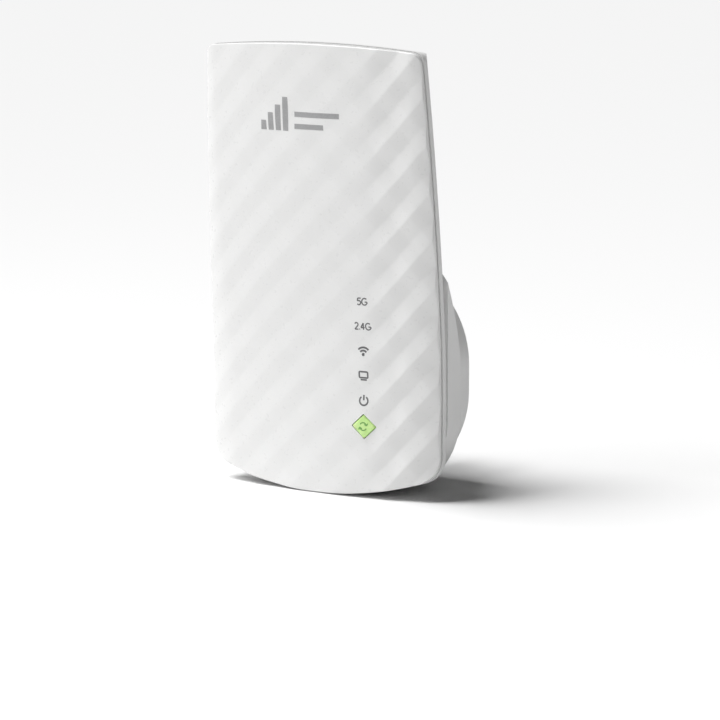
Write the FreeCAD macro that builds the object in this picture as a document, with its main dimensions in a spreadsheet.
"""Plug-in Wi-Fi range extender: a leaning slab with a round plug boss behind it, and its insides.

Frame: +Z up, the front faces -Y and the wall is on the +Y side. The origin is the centre of the plug
boss's back face, midway between the two blades, where the extender touches the wall outlet.
Heights called "level" are measured from the bottom of the case, in millimetres like all sizes.
"""
import FreeCAD, Part
import math
import os
import re

from FreeCAD import Placement, Rotation, Vector

SIZES = {
    # case outline, seen from the front
    "body_high": 109.8, "body_wide": 66.1, "top_wide": 61.0, "body_deep": 37.7,
    "plug_level": 28.5, "bottom_radius": 98.0, "corner_radius": 7.0,
    "top_radius": 310.0, "top_corner": 2.5, "taper_level": 34.0,
    # the case leans away from the wall above lean_low; it is straight again above lean_high
    "lean_low": 24.0, "lean_high": 44.0, "lean_slope": 0.075,
    # crowned front: a flat arc with a rounder brow along each side
    "crown_radius": 170.0, "brow_low": 8.6, "brow_top": 3.0, "brow_slope": 0.53,
    "side_wall": 1.3, "cover_wall": 1.9, "lip_wall": 1.0, "lip_deep": 1.5, "lip_root": 0.6,
    # the leaning blanks stand this far past the outline that trims them
    "blank_margin": 1.0,
    # back housing; pillow_across and pillow_back place the middle of its rounded sides
    "gap": 0.35, "rim_deep": 1.4, "rim_proud": 0.15, "rim_wall": 1.25, "slab_deep": 13.0,
    "shell_wall": 1.8, "tuck": 0.1, "back_corner": 18.0, "pillow_wide": 10.2, "pillow_across": 0.37,
    "pillow_back": 0.58, "top_bevel": 38.0,
    "boss_radius": 24.5, "boss_stretch": 6.5, "boss_low_level": 22.5,
    "boss_edge": 1.2, "vent_wide": 1.8, "vent_high": 14.0, "vent_pitch": 4.2, "vent_count": 9,
    "vent_up": 44.0, "vent_front": -22.0, "vent_reach": 8.0,
    # plug
    "blade_apart": 12.7, "blade_thick": 1.5, "blade_long": 17.5, "blade_inside": 8.2,
    "live_wide": 6.35, "neutral_wide": 7.9, "blade_hole": 3.0, "blade_hole_out": 11.7,
    "blade_bevel": 0.5, "carrier_wide": 24.0, "carrier_high": 15.0, "carrier_deep": 4.6,
    "carrier_corner": 1.0, "fit_gap": 0.15, "blade_fit": 0.05,
    # main board and its four posts
    "main_wide": 52.0, "main_low": -23.4, "main_top": 60.0, "main_front": -23.2,
    "main_thick": 1.2, "main_corner": 6.0, "shoulder_up": 24.0, "main_top_wide": 43.0,
    "post_x": 23.0, "post_top_x": 18.0, "post_low": -14.0, "post_top": 52.0,
    "post_radius": 2.6, "post_reach": 3.5, "post_bore": 3.2,
    # screws: reach is the shank beyond the board, and the slot is cut across the head
    "screw_radius": 1.1, "screw_gap": 0.2, "screw_head": 2.3, "head_thick": 1.4, "screw_reach": 2.8,
    "slot_long": 3.0, "slot_wide": 0.6, "slot_deep": 0.6,
    "power_head": 1.8, "power_head_thick": 1.2, "power_reach": 2.6, "power_slot_long": 2.4,
    # shields, heat spreader and antennas
    "shield_deep": 2.2, "tin_skin": 0.2, "pad_side": 12.0, "pad_thick": 0.6, "pad_low": -2.0,
    "spreader_across": -6.0, "spreader_wide": 18.0, "spreader_high": 22.0, "spreader_low": -7.0,
    "spreader_thick": 0.8, "groove_wide": 0.8, "groove_deep": 0.4, "groove_pitch": 2.2,
    "antenna_long": 16.0, "antenna_high": 4.0, "antenna_skin": 0.4, "antenna_out": 4.2,
    "leg_wide": 1.2, "feed_across": -3.0, "ground_across": -7.4,
    # status lights, their guide and mask
    "legend_x": 14.15, "legend_low": -4.6, "legend_pitch": 6.03, "legend_count": 5,
    "led_wide": 1.6, "led_deep": 0.7, "led_high": 0.8, "led_aside": 4.2,
    "guide_wide": 5.2, "guide_pin": 1.1, "guide_base": 1.0, "guide_back": -25.3,
    "guide_reach": 4.2, "guide_end": 2.2, "mask_wide": 8.2, "mask_thick": 1.0, "mask_off": 0.2,
    "mask_end": 3.5, "mask_hole": 3.0,
    # pairing button and its switch
    "button_up": -11.0, "button_wide": 6.25, "button_high": 5.8, "button_gap": 0.18,
    "button_flange": 0.9, "flange_thick": 0.7, "flange_off": 0.7, "stem_radius": 1.0,
    "join_deep": 0.1, "switch_side": 4.5, "switch_deep": 2.4, "switch_floor": 0.4,
    "plunger_radius": 1.2, "plunger_out": 1.0, "plunger_in": 1.2, "plunger_gap": 0.1,
    # reset switch and its pinhole
    "reset_x": 15.5, "reset_y": -19.6, "reset_low": -25.0, "pinhole_radius": 0.75,
    "pinhole_long": 14.0, "reset_wide": 4.4, "reset_deep": 3.4, "reset_high": 3.2,
    "reset_plunger": 0.7, "reset_out": 0.9, "reset_well": 1.8, "reset_in": 1.3,
    # Ethernet jack
    "jack_wide": 16.0, "jack_deep": 13.3, "jack_high": 15.5, "jack_low": -26.6, "jack_skin": 0.25,
    "insert_gap": 0.05, "port_wide": 11.9, "port_deep": 7.0, "port_high": 12.4, "port_back": -12.4,
    "port_margin": 0.3, "notch_wide": 6.2, "notch_deep": 1.8, "contact_pitch": 1.02,
    "contact_wide": 0.45, "contact_thick": 0.5, "contact_high": 8.4, "contact_low": 2.6,
    # power board, a disc with a flat lower edge behind the boss
    "power_radius": 21.6, "power_flat": -8.6, "power_back": -4.9, "power_thick": 1.6,
    "power_slot_gap": 0.25, "power_post_x": 16.9, "power_post_up": 10.9, "power_post_radius": 2.4,
    "power_post_root": 0.6, "power_bore": 3.0,
    # parts on the power board
    "crimp_high": 0.5, "crimp_deep": 0.35, "heel_high": 1.4,
    "tape_wide": 9.4, "tape_side": 9.6, "tape_out": 11.0,
    "fuse_radius": 1.5, "fuse_long": 7.4, "fuse_low": -3.9, "fuse_out": 1.6,
    "choke_radius": 1.7, "choke_end": 2.7, "choke_long": 7.0, "choke_end_thick": 1.2,
    "choke_across": -17.4, "choke_up": -4.3,
    "safety_radius": 3.2, "safety_thick": 2.8, "safety_across": 16.4, "safety_up": -4.6,
    "safety_out": 3.4,
    "header_wide": 10.2, "header_deep": 2.5, "header_high": 2.4, "header_up": 19.0,
    "pin_side": 0.64, "pin_pitch": 2.54, "pin_count": 4, "pin_hole": 0.8, "pin_end": 0.05,
    "insulator_wide": 34.0, "insulator_high": 24.0, "insulator_low": -7.0, "insulator_out": 3.4,
    "sheet_thick": 0.4,
    # blank label in a shallow recess in the boss's back
    "label_wide": 26.0, "label_high": 6.0, "label_up": -14.5, "label_thick": 0.25,
    "label_recess": 0.35, "label_gap": 0.3,
    # cutting tools run this far past what they cut
    "past": 5.0,
}

# Simple parts on the boards: width, depth, height, then the centre across and up, and the board face
# they stand on. Faces: "front" and "back" of the main board, "power" for the power board's front.
BLOCKS = {
    "processor": (12.0, 1.2, 12.0, -6.0, 4.0, "front"),
    "radio_chip": (9.0, 1.0, 9.0, -6.0, 33.0, "front"),
    "memory_chip": (8.0, 1.0, 11.5, -20.0, 6.0, "front"),
    "flash_chip": (5.3, 1.4, 5.3, -20.0, -8.0, "front"),
    "crystal": (3.2, 0.8, 2.5, 6.6, -3.5, "front"),
    "ethernet_transformer": (12.8, 3.2, 9.6, -14.5, -3.5, "back"),
    "transformer_core": (14.0, 4.4, 10.0, 0.0, 12.5, "power"),
    "bridge_rectifier": (5.0, 2.4, 6.2, -10.9, -4.6, "power"),
    "optocoupler": (4.6, 3.4, 6.4, 10.6, -4.6, "power"),
    "power_controller": (4.9, 1.5, 2.7, 0.0, 5.6, "power"),
    "output_diode": (4.4, 2.2, 2.4, 0.0, -6.6, "power"),
}

# Tin shields over the chips: width, height, and the centre across and up.
SHIELDS = {
    "processor_shield": (20.0, 24.0, -6.0, 4.0),
    "radio_shield": (18.0, 20.0, -6.0, 33.0),
}

# Capacitor cans on the power board: radius, length, and the centre across and up.
CANS = {
    "bulk_capacitor_left": (3.9, 11.0, -15.2, 4.0),
    "bulk_capacitor_right": (3.9, 11.0, 15.2, 4.0),
    "output_capacitor_left": (3.1, 9.0, -11.6, 13.4),
    "output_capacitor_right": (3.1, 9.0, 11.6, 13.4),
}

# Antennas on the main board: the foot's place across and up, and the turn about Y in degrees.
ANTENNAS = {
    "antenna_left": (-16.0, 55.0, 0.0),
    "antenna_right": (14.0, 55.0, 0.0),
    "antenna_side": (23.5, 36.0, 90.0),
}

# The boss widens towards the slab: distance from its back face, and how far its outline has grown.
FLARE = ((0.0, 0.0), (5.0, 0.5), (9.0, 1.5), (13.0, 3.6), (17.0, 6.9), (20.5, 10.9), (24.3, 16.0))

# Levels of the sections that the leaning blanks are lofted through.
LEVELS = (-6, 8, 24, 30, 37, 44, 60, 76, 92, 104, 116)

doc = FreeCAD.newDocument("range_extender")
sheet = doc.addObject("Spreadsheet::Sheet", "dim")
PARTS = []
ROWS = []


def add_rows(sizes):
    """Adds sizes to the sheet, one row each, with the name as the cell's alias."""
    for name, value in sizes.items():
        ROWS.append(name)
        sheet.set(f"A{len(ROWS)}", name)
        sheet.set(f"B{len(ROWS)}", str(value))
        sheet.setAlias(f"B{len(ROWS)}", name)
    doc.recompute()


def fill_sheet():
    """Writes the driving sizes into the sheet."""
    add_rows(SIZES)
    for table, endings in ((BLOCKS, ("wide", "deep", "high", "across", "up")),
                           (SHIELDS, ("wide", "high", "across", "up")),
                           (CANS, ("radius", "long", "across", "up"))):
        for name, values in table.items():
            add_rows({f"{name}_{ending}": value for ending, value in zip(endings, values)})


def size(name):
    """A size read back from the sheet, as a number of millimetres or a plain ratio."""
    return float(sheet.get(name))


def formula(text):
    """Turns 'body_wide/2' into the sheet expression 'dim.body_wide/2'."""
    return re.sub(r"[a-z_]{3,}", lambda word: "dim." + word.group(0), str(text))


def bind(item, **properties):
    """Binds an object's properties to sheet formulas."""
    for name, text in properties.items():
        item.setExpression(name, formula(text))
    return item


def move(item, across="0", deep="0", up="0"):
    """Binds an object's position to sheet formulas, keeping its rotation."""
    for axis, text in zip("xyz", (across, deep, up)):
        item.setExpression(".Placement.Base." + axis, formula(text))
    return item


def keep(item, name):
    """Marks an object as a finished sub-part: its label is the name of its file."""
    item.Label = name
    PARTS.append(item)
    return item


def box(name, wide, deep, high, across="0", front="0", low="0"):
    """A block centred on X at 'across', with its front face at Y 'front' and its underside at 'low'."""
    solid = bind(doc.addObject("Part::Box", name), Length=wide, Width=deep, Height=high)
    return move(solid, f"({across}) - ({wide})/2", front, low)


def rod(name, radius, length, across="0", deep="0", up="0", along="y"):
    """A cylinder that starts at the given point and runs towards +Y, +Z or +X."""
    solid = bind(doc.addObject("Part::Cylinder", name), Radius=radius, Height=length)
    turns = {"x": Rotation(Vector(0, 1, 0), 90), "y": Rotation(Vector(1, 0, 0), -90), "z": Rotation()}
    solid.Placement = Placement(Vector(), turns[along])
    return move(solid, across, deep, up)


def cut(name, base, *tools):
    """The base with every tool cut away."""
    for count, tool in enumerate(tools):
        step = doc.addObject("Part::Cut", f"{name}_cut_{count}")
        step.Base = base
        step.Tool = tool
        base = step
    return base


def join(name, *shapes):
    """One solid from several that overlap."""
    fused = doc.addObject("Part::MultiFuse", name + "_fused")
    fused.Shapes = list(shapes)
    fused.Refine = True
    return fused


def overlap(name, *shapes):
    """The space that every shape shares."""
    common = doc.addObject("Part::MultiCommon", name + "_common")
    common.Shapes = list(shapes)
    return common


def group(name, shapes):
    """Separate solids kept as one sub-part."""
    compound = doc.addObject("Part::Compound", name + "_group")
    compound.Links = list(shapes)
    return compound


def feature(name, shape):
    """A fixed shape worked out here from the sheet's sizes."""
    item = doc.addObject("Part::Feature", name)
    item.Shape = shape
    return item


def arc(start, middle, end):
    return Part.Arc(start, middle, end).toShape()


def line(start, end):
    return Part.LineSegment(start, end).toShape()


# ---------------------------------------------------------------- the case's outline and its lean


def half_width(level):
    """Half of the case's width at a level: straight sides below, drawn in towards the top."""
    rise = max(0.0, level - size("taper_level")) / (size("body_high") - size("taper_level"))
    return size("body_wide") / 2 - (size("body_wide") - size("top_wide")) / 2 * rise ** 2


def lean(level):
    """How far the parting line stands forward of its lowest stretch at a level."""
    low, high, slope = size("lean_low"), size("lean_high"), size("lean_slope")
    if level <= low:
        return 0.0
    if level <= high:
        return slope * (level - low) ** 2 / (2 * (high - low))
    return slope * (level - (low + high) / 2)


def front_crown(level):
    """The front curve at a level: brow width, and the depths of the brow's start and the centre."""
    rise = max(0.0, level - size("taper_level")) / (size("body_high") - size("taper_level"))
    brow = size("brow_low") + (size("brow_top") - size("brow_low")) * min(1.0, rise) ** 0.7
    start = math.asin((half_width(level) - brow) / size("crown_radius"))
    end = math.asin(size("brow_slope"))
    brow_radius = brow / (math.sin(end) - math.sin(start))
    flat_sag = size("crown_radius") * (1 - math.cos(start))
    brow_sag = brow_radius * (math.cos(start) - math.cos(end))
    return brow, brow_radius, start, brow_sag, flat_sag


def parting(level):
    """Y of the cover's back edge at a level, set so that the front's highest point is body_deep."""
    top = size("body_high")
    crown_at_top = sum(front_crown(top)[3:])
    top_edge = -size("body_deep") + crown_at_top + size("side_wall")
    return top_edge + lean(top) - lean(level)


def outline_wire(grow, corner):
    """The case from the front, in the XZ plane: tangent arcs mirrored about X = 0, moved out by 'grow'.

    'corner' is the radius of the lower corners.
    """
    bottom = -size("plug_level")
    reach = size("bottom_radius")
    side = size("body_wide") / 2 - size("rim_proud")
    inset = (size("body_wide") - size("top_wide")) / 2
    taper_low, top = size("taper_level"), size("body_high") - size("rim_proud")
    taper_radius = ((top - taper_low) ** 2 + inset ** 2) / (2 * inset)
    arch, nip = size("top_radius"), size("top_corner")

    sole_centre = 0.0, reach
    corner_centre = side - corner, reach - math.sqrt((reach - corner) ** 2 - (side - corner) ** 2)
    taper_centre = side - taper_radius, taper_low
    nip_level = top - (side - inset) ** 2 / (2 * arch) - nip
    nip_side = taper_centre[0] + math.sqrt(taper_radius ** 2 - (nip_level - taper_low) ** 2)
    nip_centre = nip_side - nip, nip_level
    arch_centre = 0.0, nip_level - math.sqrt((arch - nip) ** 2 - nip_centre[0] ** 2)

    def point(across, level, sign):
        return Vector(sign * across, 0, bottom + level)

    def on_circle(centre, radius, towards):
        """The point of a circle in the direction of another point."""
        away = towards[0] - centre[0], towards[1] - centre[1]
        stretch = (radius + grow) / math.hypot(*away)
        return centre[0] + away[0] * stretch, centre[1] + away[1] * stretch

    def half_way(first, last):
        return (first[0] + last[0]) / 2, (first[1] + last[1]) / 2

    corner_start = on_circle(sole_centre, reach, corner_centre)
    corner_end = corner_centre[0] + corner + grow, corner_centre[1]
    corner_mid = on_circle(corner_centre, corner, half_way(corner_start, corner_end))
    side_end = side + grow, taper_low
    nip_start = on_circle(taper_centre, taper_radius, nip_centre)
    taper_mid = on_circle(taper_centre, taper_radius, half_way(side_end, nip_start))
    arch_start = on_circle(arch_centre, arch, nip_centre)
    nip_mid = on_circle(nip_centre, nip, half_way(nip_start, arch_start))

    edges = [arc(point(*corner_start, -1), point(0, -grow, 1), point(*corner_start, 1))]
    for sign in (1, -1):
        edges += [
            arc(point(*corner_start, sign), point(*corner_mid, sign), point(*corner_end, sign)),
            line(point(*corner_end, sign), point(*side_end, sign)),
            arc(point(*side_end, sign), point(*taper_mid, sign), point(*nip_start, sign)),
            arc(point(*nip_start, sign), point(*nip_mid, sign), point(*arch_start, sign)),
        ]
    crown = arch_centre[1] + arch + grow
    edges.append(arc(point(*arch_start, 1), point(0, crown, 1), point(*arch_start, -1)))
    return Part.Wire(Part.__sortEdges__(edges))


def slice_of_case(name, grow, corner="corner_radius"):
    """A straight prism with the case's outline, deep enough to span the whole case."""
    deep = size("body_deep")
    return prism(name, outline_wire(grow, size(corner)), -2 * deep, 3 * deep)


def loft(name, section):
    """A blank through section(level) wires, one at each level."""
    wires = []
    for count, level in enumerate(LEVELS):
        wire = section(min(level, size("body_high")), level - size("plug_level"))
        wires.append(feature(f"{name}_section_{count}", wire))
    blank = doc.addObject("Part::Loft", name)
    blank.Sections = wires
    blank.Solid = True
    blank.Ruled = False
    return blank


def front_section(inset, back):
    """Section of the cover's blank, its crown moved in by 'inset' and its back edge at 'back'."""

    def section(level, height):
        brow, radius, start, brow_sag, flat_sag = front_crown(level)
        half = half_width(level)
        edge = parting(level) - size("side_wall") + inset
        joint = Vector(half - brow, edge - brow_sag, height)
        crown = Vector(0, edge - brow_sag - flat_sag, height)
        centre = Vector(half - brow - radius * math.sin(start), joint.y + radius * math.cos(start), height)
        last = math.asin(size("brow_slope") + size("blank_margin") / radius)
        rear = parting(level) + back

        def brow_point(angle, sign):
            across = centre.x + radius * math.sin(angle)
            return Vector(sign * across, centre.y - radius * math.cos(angle), height)

        mirrored = Vector(-joint.x, joint.y, height)
        right, left = brow_point(last, 1), brow_point(last, -1)
        right_back, left_back = Vector(right.x, rear, height), Vector(left.x, rear, height)
        middle = (start + last) / 2
        edges = [
            arc(mirrored, crown, joint),
            arc(joint, brow_point(middle, 1), right),
            line(right, right_back),
            line(right_back, left_back),
            line(left_back, left),
            arc(left, brow_point(middle, -1), mirrored),
        ]
        return Part.Wire(edges)

    return section


def band_section(front, back):
    """Section of a straight band between two depths behind the parting line."""

    def section(level, height):
        half = half_width(level) + 2 * size("blank_margin")
        near, far = parting(level) + front, parting(level) + back
        corners = [Vector(-half, near, height), Vector(half, near, height),
                   Vector(half, far, height), Vector(-half, far, height)]
        return Part.makePolygon(corners + corners[:1])

    return section


def pillow_section(front, back, inset):
    """Section of the slab's rounded back, moved in by 'inset'."""

    def section(level, height):
        half = half_width(level) - size("rim_proud") - size("tuck") - inset
        near, far = parting(level) + front, parting(level) + back
        inner = half - size("pillow_wide")
        middle = Vector(half - size("pillow_across") * size("pillow_wide"),
                        near + size("pillow_back") * (far - near), height)
        right, left = Vector(half, near, height), Vector(-half, near, height)
        right_back, left_back = Vector(inner, far, height), Vector(-inner, far, height)
        mirrored = Vector(-middle.x, middle.y, height)
        edges = [line(left, right), arc(right, middle, right_back),
                 line(right_back, left_back), arc(left_back, mirrored, left)]
        return Part.Wire(edges)

    return section


# ---------------------------------------------------------------- casing


def prism(name, wire, front, deep):
    """A straight solid along Y from a wire in the XZ plane, from depth 'front' on."""
    outline = feature(name + "_outline", wire)
    outline.Placement = Placement(Vector(0, front, 0), Rotation())
    solid = doc.addObject("Part::Extrusion", name)
    solid.Base = outline
    solid.DirMode = "Custom"
    solid.Dir = Vector(0, 1, 0)
    solid.Solid = True
    solid.LengthFwd = deep
    return solid


def diamond(grow):
    """The pairing button's outline, a diamond a little wider than it is high, moved out by 'grow'."""
    half_wide, half_high = size("button_wide") / 2, size("button_high") / 2
    stretch = 1 + grow * math.hypot(half_wide, half_high) / (half_wide * half_high)
    across, up = size("legend_x"), size("button_up")
    corners = [Vector(across + half_wide * stretch, 0, up), Vector(across, 0, up + half_high * stretch),
               Vector(across - half_wide * stretch, 0, up), Vector(across, 0, up - half_high * stretch)]
    return Part.makePolygon(corners + corners[:1])


def button_post(name, grow):
    """The diamond as a post that passes right through the front cover."""
    return prism(name, diamond(grow), -size("body_deep") - size("past"), size("body_deep") / 2)


def front_cover():
    """The crowned front shell with its lip, its screw posts and the hole for the pairing button."""
    outer = overlap("cover_outer", loft("cover_blank", front_section(0.0, 0.0)),
                    slice_of_case("cover_slice", 0.0))
    inner = overlap("cover_inner", loft("cover_hollow", front_section(size("cover_wall"), 3.0)),
                    slice_of_case("cover_inner_slice", -size("side_wall")))
    shell = cut("cover_shell", outer, inner)
    lip_band = loft("lip_band", band_section(-size("lip_root"), size("lip_deep")))
    lip_inset = size("rim_wall") - size("rim_proud") + size("fit_gap")
    lip_ring = cut("lip_ring", slice_of_case("lip_outer", -lip_inset),
                   slice_of_case("lip_inner", -lip_inset - size("lip_wall")))
    lip = overlap("lip", lip_band, lip_ring)
    posts = []
    for count, (across, up) in enumerate(screw_spots()):
        start = parting(size(up) + size("plug_level")) - size("post_reach")
        post = rod(f"post_{count}", "post_radius", f"main_front - ({start})", across, str(start), up)
        bore = rod(f"post_bore_{count}", "screw_radius + blade_fit", "post_bore", across,
                   "main_front - post_bore", up)
        posts.append(cut(f"post_{count}", post, bore))
    whole = join("cover", shell, lip, *posts)
    hole = button_post("button_hole", size("button_gap"))
    return keep(cut("cover_open", whole, hole), "front_cover")


def boss_outline(grow):
    """The plug boss seen from behind: two half circles joined by short straights, in the XZ plane."""
    radius = size("boss_radius") + grow
    low = size("boss_low_level") - size("plug_level")
    high = low + size("boss_stretch")
    edges = [
        arc(Vector(-radius, 0, low), Vector(0, 0, low - radius), Vector(radius, 0, low)),
        line(Vector(radius, 0, low), Vector(radius, 0, high)),
        arc(Vector(radius, 0, high), Vector(0, 0, high + radius), Vector(-radius, 0, high)),
        line(Vector(-radius, 0, high), Vector(-radius, 0, low)),
    ]
    return Part.Wire(edges)


def boss(name, inset):
    """The boss as a loft that flares towards the slab, moved in by 'inset' on every side."""
    wires = []
    for count, (deep, grow) in enumerate(FLARE):
        wire = feature(f"{name}_section_{count}", boss_outline(grow - inset))
        wire.Placement = Placement(Vector(0, -deep - inset, 0), Rotation())
        wires.append(wire)
    solid = doc.addObject("Part::Loft", name)
    solid.Sections = wires
    solid.Solid = True
    return solid


def rounded_back(name, solid):
    """The boss with its back edge rounded."""
    rounding = doc.addObject("Part::Fillet", name)
    rounding.Base = solid
    doc.recompute()
    back = [count for count, edge in enumerate(solid.Shape.Edges, start=1)
            if abs(edge.BoundBox.YMin) < 1e-6 and abs(edge.BoundBox.YMax) < 1e-6]
    rounding.Edges = [(count, size("boss_edge"), size("boss_edge")) for count in back]
    return rounding


def top_wedge(name, inset):
    """A block whose lower face slopes down behind the rim, to bevel the slab's top edge."""
    rim_back = parting(size("body_high")) + size("gap") + size("rim_deep") - inset
    top = size("body_high") - size("plug_level") - size("rim_proud") - size("tuck") - inset
    wide = size("body_wide")
    item = feature(name, Part.makeBox(2 * wide, wide, wide / 2, Vector(-wide, 0, 0)))
    item.Placement = Placement(Vector(0, rim_back, top), Rotation(Vector(1, 0, 0), -size("top_bevel")))
    return item


def vents():
    """A row of upright slots through the slab's back."""
    slots = []
    for count in range(int(size("vent_count"))):
        across = f"({count} - (vent_count - 1)/2)*vent_pitch"
        slots.append(box(f"vent_{count}", "vent_wide", "vent_reach", "vent_high", across,
                         "vent_front", "vent_up"))
    return group("vents", slots)


def port_cut():
    """The square opening under the boss for the Ethernet jack, through the housing's floor."""
    return box("port_cut", "jack_wide + 2*port_margin", "jack_deep + 2*port_margin", "2*past", "0",
               "main_front + main_thick - port_margin", "-plug_level - past")


def back_housing():
    """The rim behind the parting gap, the slab's rounded back and the plug boss, as one hollow shell."""
    gap, rim_deep, slab_deep = size("gap"), size("rim_deep"), size("slab_deep")
    wall, tuck = size("shell_wall"), size("tuck")
    rim = overlap("rim", loft("rim_band", band_section(gap, gap + rim_deep)),
                  slice_of_case("rim_slice", size("rim_proud")))
    pillow = overlap("pillow", loft("pillow_blank", pillow_section(gap + 0.5, slab_deep, 0)),
                     slice_of_case("pillow_slice", -tuck, "back_corner"))
    pillow = cut("pillow_bevelled", pillow, top_wedge("outer_wedge", 0))
    plug_boss = overlap("boss_trim", rounded_back("boss_rounded", boss("boss_outer", 0.0)),
                        slice_of_case("boss_slice", -tuck, "back_corner"))
    solid = join("housing", rim, pillow, plug_boss)

    shelf = size("lip_deep") + size("fit_gap")
    rim_hollow = overlap("rim_hollow", loft("rim_hollow_band", band_section(-gap, shelf)),
                         slice_of_case("rim_hollow_slice", size("rim_proud") - size("rim_wall")))
    blank = loft("pillow_hollow_blank", pillow_section(shelf - 0.1, slab_deep - wall, wall))
    pillow_hollow = overlap("pillow_hollow", blank, slice_of_case("pillow_hollow_slice", -tuck - wall,
                                                             "back_corner"))
    pillow_hollow = cut("pillow_hollow_bevelled", pillow_hollow, top_wedge("inner_wedge", wall))
    boss_hollow = overlap("boss_hollow", boss("boss_inner", wall),
                          slice_of_case("boss_hollow_slice", -tuck - wall, "back_corner"))
    shell = cut("housing_shell", solid, rim_hollow, pillow_hollow, boss_hollow)

    carrier_hole = box("carrier_hole", "carrier_wide + 2*fit_gap", "2*past",
                       "carrier_high + 2*fit_gap", "0", "-past", "-carrier_high/2 - fit_gap")
    pinhole = rod("pinhole", "pinhole_radius", "pinhole_long", "reset_x", "reset_y",
                  "-plug_level - past", "z")
    recess = box("label_recess_cut", "label_wide + 2*label_gap", "past", "label_high + 2*label_gap",
                 "0", "-label_recess", "label_up - label_high/2 - label_gap")
    shell = cut("housing_open", shell, vents(), port_cut(), carrier_hole, pinhole, recess)
    return keep(join("housing_posts", shell, *power_posts()), "back_housing")


# ---------------------------------------------------------------- plug


def blade(name, sign, wide):
    """A flat plug blade with a hole near its tip and a bevelled end."""
    across = f"{sign}*blade_apart/2"
    bar = box(name + "_bar", "blade_thick", "blade_long + blade_inside", wide, across,
              "-blade_inside", f"-({wide})/2")
    bevel = doc.addObject("Part::Chamfer", name + "_bevel")
    bevel.Base = bar
    doc.recompute()
    tip = size("blade_long")
    ends = [n for n, edge in enumerate(bar.Shape.Edges, start=1)
            if all(abs(v.Point.y - tip) < 1e-6 for v in edge.Vertexes)]
    bevel.Edges = [(n, size("blade_bevel"), size("blade_bevel")) for n in ends]
    hole = rod(name + "_hole", "blade_hole/2", "3*blade_thick", f"{across} - 1.5*blade_thick",
               "blade_hole_out", "0", "x")
    return keep(cut(name, bevel, hole), name)


def blade_carrier():
    """The insulating insert in the boss's back wall that holds the two blades."""
    plate = box("carrier_plate", "carrier_wide", "carrier_deep", "carrier_high", "0",
                "-carrier_deep", "-carrier_high/2")
    corners = doc.addObject("Part::Fillet", "carrier_corners")
    corners.Base = plate
    doc.recompute()
    upright = [n for n, edge in enumerate(plate.Shape.Edges, start=1)
               if abs(edge.Vertexes[0].X - edge.Vertexes[1].X) < 1e-6
               and abs(edge.Vertexes[0].Z - edge.Vertexes[1].Z) < 1e-6]
    corners.Edges = [(n, size("carrier_corner"), size("carrier_corner")) for n in upright]
    slots = []
    for name, sign, wide in (("left", -1, "neutral_wide"), ("right", 1, "live_wide")):
        slots.append(box("carrier_slot_" + name, "blade_thick + 2*blade_fit", "2*carrier_deep",
                         f"{wide} + 2*blade_fit", f"{sign}*blade_apart/2", "-1.5*carrier_deep",
                         f"-{wide}/2 - blade_fit"))
    return keep(cut("carrier", corners, *slots), "blade_carrier")


def rating_label():
    """The blank label in its shallow recess in the boss's back face, under the blades."""
    label = box("label", "label_wide", "label_thick", "label_high", "0",
                "-label_recess", "label_up - label_high/2")
    return keep(label, "rating_label")


# ---------------------------------------------------------------- power supply


def power_board():
    """The disc-shaped supply board with a flat lower edge and a slot for each blade."""
    disc = rod("power_disc", "power_radius", "power_thick", "0", "power_back - power_thick", "0")
    flat = box("power_flat_cut", "3*power_radius", "2*past", "power_radius", "0",
               "power_back - past", "power_flat - power_radius")
    slots, holes = [], []
    for count, sign in enumerate((-1, 1)):
        slots.append(box(f"blade_slot_{count}", "blade_thick + 2*power_slot_gap", "2*past",
                         "neutral_wide + 2*power_slot_gap", f"{sign}*blade_apart/2",
                         "power_back - past", "-neutral_wide/2 - power_slot_gap"))
        holes.append(rod(f"power_hole_{count}", "screw_radius + screw_gap", "2*past",
                         f"{sign}*power_post_x", "power_back - past", "power_post_up"))
    return keep(cut("power_board", disc, flat, *slots, *holes), "power_board")


def power_posts():
    """Two posts inside the boss's back wall that carry the power board, bored for its screws."""
    posts = []
    for count, sign in enumerate((-1, 1)):
        across = f"{sign}*power_post_x"
        post = rod(f"power_post_{count}", "power_post_radius",
                   "-power_back - shell_wall + power_post_root", across, "power_back", "power_post_up")
        bore = rod(f"power_post_bore_{count}", "screw_radius + blade_fit", "power_bore", across,
                   "power_back", "power_post_up")
        posts.append(cut(f"power_post_{count}", post, bore))
    return posts


def power_screws():
    """Two pan-head screws that hold the power board."""
    screws = []
    for count, sign in enumerate((-1, 1)):
        across, face = f"{sign}*power_post_x", "power_back - power_thick"
        front = f"{face} - power_head_thick"
        shank = rod(f"power_shank_{count}", "screw_radius", "power_thick + power_reach", across, face,
                    "power_post_up")
        head = rod(f"power_head_{count}", "power_head", "power_head_thick", across, front,
                   "power_post_up")
        slot = box(f"power_slot_{count}", "power_slot_long", "slot_deep", "slot_wide", across, front,
                   "power_post_up - slot_wide/2")
        screws.append(cut(f"power_screw_{count}", join(f"power_screw_{count}", shank, head), slot))
    return keep(group("power_screws", screws), "power_screws")


def board_face(face):
    """Formulas for the front of a block of a given depth that stands on a board's face."""
    return {
        "front": lambda deep: f"main_front - ({deep})",
        "back": lambda deep: "main_front + main_thick",
        "power": lambda deep: f"power_back - power_thick - ({deep})",
    }[face]


def blocks():
    """The chips and other plain moulded parts."""
    for name, values in BLOCKS.items():
        deep = name + "_deep"
        solid = box(name + "_body", name + "_wide", deep, name + "_high", name + "_across",
                    board_face(values[5])(deep), f"{name}_up - {name}_high/2")
        keep(solid, name)


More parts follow.
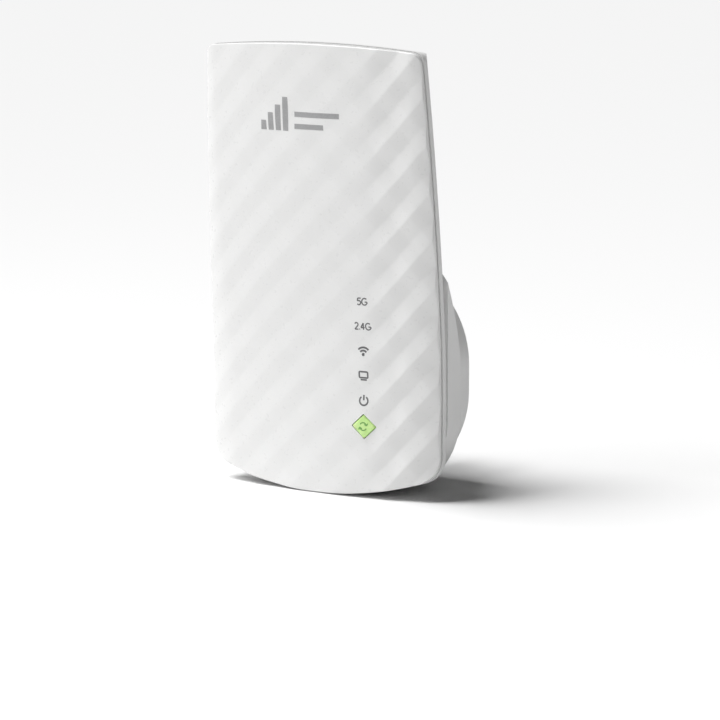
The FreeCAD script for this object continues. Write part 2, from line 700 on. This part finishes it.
def can(name):
    """A capacitor can that stands on the power board, with the crimp groove near its foot."""
    foot = "power_back - power_thick"
    radius, across, up = name + "_radius", name + "_across", name + "_up"
    body = rod(name + "_can", radius, f"{name}_long - heel_high - crimp_high", across,
               f"{foot} - {name}_long", up)
    neck = rod(name + "_neck", f"{radius} - crimp_deep", "3*crimp_high", across,
               f"{foot} - heel_high - 2*crimp_high", up)
    heel = rod(name + "_heel", radius, "heel_high", across, f"{foot} - heel_high", up)
    return keep(join(name, body, neck, heel), name)


def transformer_winding():
    """The taped winding over the transformer core's middle."""
    face = "power_back - power_thick"
    tape = box("winding_tape", "tape_wide", "tape_side", "tape_side", "0", f"{face} - tape_out",
               "transformer_core_up - tape_side/2")
    bore = box("winding_bore", "transformer_core_wide", "transformer_core_deep",
               "transformer_core_high", "0", f"{face} - transformer_core_deep",
               "transformer_core_up - transformer_core_high/2")
    return keep(cut("winding", tape, bore), "transformer_winding")


def line_choke():
    """A bobbin with a round flange at each end."""
    face = "power_back - power_thick"
    core = rod("choke_core", "choke_radius", "choke_long", "choke_across", f"{face} - choke_long",
               "choke_up")
    foot = rod("choke_foot", "choke_end", "choke_end_thick", "choke_across",
               f"{face} - choke_end_thick", "choke_up")
    head = rod("choke_head", "choke_end", "choke_end_thick", "choke_across",
               f"{face} - choke_long", "choke_up")
    return keep(join("choke", core, foot, head), "line_choke")


def board_link():
    """The header on the power board and the pins that reach it from the main board."""
    pins, holes = [], []
    for count in range(int(size("pin_count"))):
        across = f"({count} - (pin_count - 1)/2)*pin_pitch"
        pins.append(box(f"header_pin_{count}", "pin_side", "pin_long", "pin_side", across,
                        "main_front + main_thick", "header_up - pin_side/2"))
        holes.append(box(f"header_hole_{count}", "pin_hole", "2*header_deep", "pin_hole", across,
                         "power_back - power_thick - 1.5*header_deep", "header_up - pin_hole/2"))
    block = box("header_block", "header_wide", "header_deep", "header_high", "0",
                "power_back - power_thick - header_deep", "header_up - header_high/2")
    keep(group("header_pins", pins), "link_pins")
    return keep(cut("header", block, *holes), "link_header")


def power_parts():
    """The round parts, the winding, the link and the insulating sheet."""
    face = "power_back - power_thick"
    for name in CANS:
        can(name)
    keep(rod("fuse_body", "fuse_radius", "fuse_long", "0", f"{face} - fuse_out", "fuse_low", "z"),
         "fuse")
    line_choke()
    keep(rod("safety_disc", "safety_radius", "safety_thick", "safety_across", f"{face} - safety_out",
             "safety_up", "x"), "safety_capacitor")
    transformer_winding()
    board_link()
    keep(box("insulator", "insulator_wide", "sheet_thick", "insulator_high", "0",
             "main_front + main_thick + insulator_out", "insulator_low"), "insulating_sheet")


# ---------------------------------------------------------------- main board


def screw_spots():
    """The four board screws' places as formulas: across, and up."""
    return [(f"{sign}*{across}", up) for sign in (-1, 1)
            for across, up in (("post_x", "post_low"), ("post_top_x", "post_top"))]


def main_board():
    """The main board, its lower corners cut to clear the case, with four screw holes."""
    body = doc.addObject("PartDesign::Body", "MainBoard")
    plane = next(f for f in body.Origin.OriginFeatures if f.Role == "XZ_Plane")
    sketch = body.newObject("Sketcher::SketchObject", "MainBoardOutline")
    sketch.AttachmentSupport = (plane, [""])
    sketch.MapMode = "FlatFace"
    half, low, top = size("main_wide") / 2, size("main_low"), size("main_top")
    corner = size("main_corner")
    top_half, shoulder = size("main_top_wide") / 2, size("shoulder_up")
    right = [(half - corner, low), (half, low + corner), (half, shoulder), (top_half, top)]
    points = [Vector(across, up, 0) for across, up in right]
    points += [Vector(-across, up, 0) for across, up in reversed(right)]
    for start, end in zip(points, points[1:] + points[:1]):
        sketch.addGeometry(Part.LineSegment(start, end), False)
    hole = size("screw_radius") + size("screw_gap")
    for sign in (-1, 1):
        for across, up in (("post_x", "post_low"), ("post_top_x", "post_top")):
            centre = Vector(sign * size(across), size(up), 0)
            sketch.addGeometry(Part.Circle(centre, Vector(0, 0, 1), hole), False)
    pad = body.newObject("PartDesign::Pad", "MainBoardPad")
    pad.Profile = sketch
    bind(pad, Length="main_thick")
    body.Tip = pad
    doc.recompute()
    pad.Reversed = pad.Shape.BoundBox.YMin < -size("main_thick") / 2
    return keep(move(body, "0", "main_front", "0"), "main_board")


def board_screws():
    """Four pan-head screws that hold the main board."""
    screws = []
    for count, (across, up) in enumerate(screw_spots()):
        shank = rod(f"screw_shank_{count}", "screw_radius", "screw_reach + main_thick", across,
                    "main_front - screw_reach", up)
        head = rod(f"screw_head_{count}", "screw_head", "head_thick", across,
                   "main_front + main_thick", up)
        slot = box(f"screw_slot_{count}", "slot_long", "head_thick", "slot_wide", across,
                   "main_front + main_thick + head_thick - slot_deep", f"{up} - slot_wide/2")
        screws.append(cut(f"screw_{count}", join(f"screw_{count}", shank, head), slot))
    return keep(group("screws", screws), "board_screws")


def shield_can(name):
    """A folded tin can over a group of chips, open towards the board."""
    wide, high, across, low = f"{name}_wide", f"{name}_high", f"{name}_across", f"{name}_up - {name}_high/2"
    outer = box(name + "_outer", wide, "shield_deep", high, across, "main_front - shield_deep", low)
    inner = box(name + "_inner", f"{wide} - 2*tin_skin", "shield_deep", f"{high} - 2*tin_skin", across,
                "main_front - shield_deep + tin_skin", f"{low} + tin_skin")
    return keep(cut(name, outer, inner), name)


def heat_parts():
    """The thermal pad on the processor's shield and the grooved aluminium spreader over it."""
    pad = box("pad_block", "pad_side", "pad_thick", "pad_side", "spreader_across",
              "main_front - shield_deep - pad_thick", "pad_low")
    keep(pad, "thermal_pad")
    front = "main_front - shield_deep - pad_thick - spreader_thick"
    plate = box("spreader_plate", "spreader_wide", "spreader_thick", "spreader_high",
                "spreader_across", front, "spreader_low")
    grooves = [box(f"spreader_groove_{count}", "groove_wide", "groove_deep", "spreader_high",
                   f"spreader_across + {count}*groove_pitch", front, "spreader_low")
               for count in range(-3, 4)]
    return keep(cut("spreader", plate, *grooves), "heat_spreader")


def antenna(name, across, up, turn):
    """A stamped inverted-F antenna: a bar that stands off the board on a feed leg and a ground leg."""
    bar = box(name + "_bar", "antenna_long", "antenna_skin", "antenna_high", "0", "-antenna_out", "0")
    feed = box(name + "_feed", "leg_wide", "antenna_out", "antenna_skin", "feed_across",
               "-antenna_out", "0")
    ground = box(name + "_ground", "leg_wide", "antenna_out", "antenna_skin", "ground_across",
                 "-antenna_out", "0")
    stamped = join(name, bar, feed, ground)
    stamped.Placement = Placement(Vector(across, size("main_front"), up), Rotation(Vector(0, 1, 0), turn))
    return keep(stamped, name)


def lights():
    """The status lights in a column, and the light beside the pairing switch."""
    status = [box(f"status_led_{count}", "led_wide", "led_deep", "led_high", "legend_x",
                  "main_front - led_deep", f"legend_low + {count}*legend_pitch - led_high/2")
              for count in range(int(size("legend_count")))]
    keep(group("status_leds", status), "status_leds")
    keep(box("button_led_body", "led_wide", "led_deep", "led_high", "legend_x + led_aside",
             "main_front - led_deep", "button_up - led_high/2"), "button_led")


def light_guide():
    """A clear strip with a pin towards each legend, and the dark mask between it and the lights."""
    column = "(legend_count - 1)*legend_pitch"
    legends = range(int(size("legend_count")))
    strip = box("guide_strip", "guide_wide", "guide_base", f"{column} + 2*guide_end", "legend_x",
                "guide_back - guide_base", "legend_low - guide_end")
    pins = [rod(f"guide_pin_{count}", "guide_pin", "guide_reach + join_deep", "legend_x",
                "guide_back - guide_base - guide_reach", f"legend_low + {count}*legend_pitch")
            for count in legends]
    keep(join("guide", strip, *pins), "light_guide")
    foam = box("mask_block", "mask_wide", "mask_thick", f"{column} + 2*mask_end", "legend_x",
               "guide_back + mask_off", "legend_low - mask_end")
    holes = [box(f"mask_hole_{count}", "mask_hole", "3*mask_thick", "mask_hole", "legend_x",
                 "guide_back - mask_thick", f"legend_low + {count}*legend_pitch - mask_hole/2")
             for count in legends]
    return keep(cut("mask", foam, *holes), "light_mask")


# ---------------------------------------------------------------- buttons and switches


def button_cap():
    """The diamond cap: a face cut from the cover's own crown, a retaining flange and a stem."""
    crown = loft("button_blank", front_section(0.0, 2 * size("blank_margin")))
    flange_front = size("button_front") + size("cover_wall") + size("flange_off")
    post = overlap("button_face", crown, button_post("button_outline_post", 0.0))
    behind = box("button_back_cut", "4*past", "4*past", "4*past", "legend_x",
                 str(flange_front + size("flange_thick")), "button_up - 2*past")
    flange = prism("button_flange_plate", diamond(size("button_flange")), flange_front,
                   size("flange_thick"))
    stem = rod("button_stem", "stem_radius", "stem_long + join_deep", "legend_x",
               str(flange_front + size("flange_thick") - size("join_deep")), "button_up")
    return keep(join("button", cut("button_face_cut", post, behind), flange, stem), "pairing_button")


def pairing_switch():
    """The tact switch behind the button: its body with a well, and the plunger that slides in it."""
    front = "main_front - switch_deep"
    body = box("pairing_body", "switch_side", "switch_deep", "switch_side", "legend_x", front,
               "button_up - switch_side/2")
    well = rod("pairing_well", "plunger_radius + plunger_gap", "switch_deep - switch_floor",
               "legend_x", front, "button_up")
    keep(cut("pairing_switch", body, well), "pairing_switch")
    plunger = rod("pairing_plunger_rod", "plunger_radius", "plunger_out + plunger_in", "legend_x",
                  f"{front} - plunger_out", "button_up")
    return keep(plunger, "pairing_plunger")


def reset_switch():
    """The reset switch on the board's back, its plunger pointing down at the pinhole."""
    low = "reset_low + reset_out"
    body = box("reset_body", "reset_wide", "reset_deep", "reset_high", "reset_x",
               "main_front + main_thick", low)
    well = rod("reset_well_bore", "reset_plunger + plunger_gap", "reset_well", "reset_x", "reset_y",
               low, "z")
    keep(cut("reset_switch", body, well), "reset_switch")
    plunger = rod("reset_plunger_rod", "reset_plunger", "reset_out + reset_in", "reset_x",
                  "reset_y", "reset_low", "z")
    return keep(plunger, "reset_plunger")


# ---------------------------------------------------------------- Ethernet jack


def ethernet_jack():
    """A shielded jack that opens downwards: the tin shell, the moulded insert and eight contacts."""
    front = "main_front + main_thick"
    shell = box("jack_outer", "jack_wide", "jack_deep", "jack_high", "0", front, "jack_low")
    room = box("jack_room", "jack_wide - 2*jack_skin", "jack_deep - 2*jack_skin", "jack_high", "0",
               f"{front} + jack_skin", "jack_low - jack_skin")
    keep(cut("jack", shell, room), "ethernet_shell")
    body = box("insert_body", "jack_wide - 2*(jack_skin + insert_gap)",
               "jack_deep - 2*(jack_skin + insert_gap)", "jack_high - jack_skin - 2*insert_gap",
               "0", f"{front} + jack_skin + insert_gap", "jack_low + insert_gap")
    cavity = box("insert_cavity", "port_wide", "port_deep", "port_high + past", "0",
                 "port_back - port_deep", "jack_low - past")
    notch = box("insert_notch", "notch_wide", "port_deep", "port_high + past", "0",
                "port_back - port_deep - notch_deep", "jack_low - past")
    keep(cut("insert", body, cavity, notch), "ethernet_insert")
    wires = [box(f"contact_{count}", "contact_wide", "contact_thick", "contact_high",
                 f"({count} - 3.5)*contact_pitch", "port_back - contact_thick",
                 "jack_low + contact_low")
             for count in range(8)]
    return keep(group("contacts", wires), "ethernet_contacts")


# ---------------------------------------------------------------- build and write


def derived_sizes():
    """Sizes that follow from the curved shapes, added to the sheet so that formulas can use them."""
    level = size("plug_level") + size("button_up")
    across = size("legend_x")
    _brow, _radius, _start, brow_sag, flat_sag = front_crown(level)
    crown = parting(level) - size("side_wall") - brow_sag - flat_sag
    surface = crown + size("crown_radius") - math.sqrt(size("crown_radius") ** 2 - across ** 2)
    stem_start = surface + size("cover_wall") + size("flange_off") + size("flange_thick")
    plunger_front = size("main_front") - size("switch_deep") - size("plunger_out")
    board_apart = size("power_back") - size("power_thick") - size("main_front") - size("main_thick")
    add_rows({
        "button_front": round(surface, 4),
        "stem_long": round(plunger_front - stem_start, 4),
        "pin_long": round(board_apart - size("pin_end"), 4),
    })


def check():
    """Stops if any object failed or any sub-part isn't one or more valid closed solids."""
    for item in doc.Objects:
        if {"Invalid", "Error"} & set(item.State):
            raise RuntimeError(f"{item.Name} ({item.Label}) failed: {item.State}")
    for item in PARTS:
        shape = item.Shape
        if shape.isNull() or not shape.isValid() or not shape.Solids:
            raise RuntimeError(f"{item.Label} has no valid solid")


def write():
    os.makedirs("parts", exist_ok=True)
    for item in PARTS:
        item.Shape.exportStep(f"parts/{item.Label}.step")


def main():
    fill_sheet()
    derived_sizes()
    front_cover()
    back_housing()
    blade("blade_left", -1, "neutral_wide")
    blade("blade_right", 1, "live_wide")
    blade_carrier()
    rating_label()
    power_board()
    power_screws()
    blocks()
    power_parts()
    main_board()
    board_screws()
    for name in SHIELDS:
        shield_can(name)
    heat_parts()
    for name, place in ANTENNAS.items():
        antenna(name, *place)
    lights()
    light_guide()
    button_cap()
    pairing_switch()
    reset_switch()
    ethernet_jack()
    doc.recompute()
    check()
    write()


main()
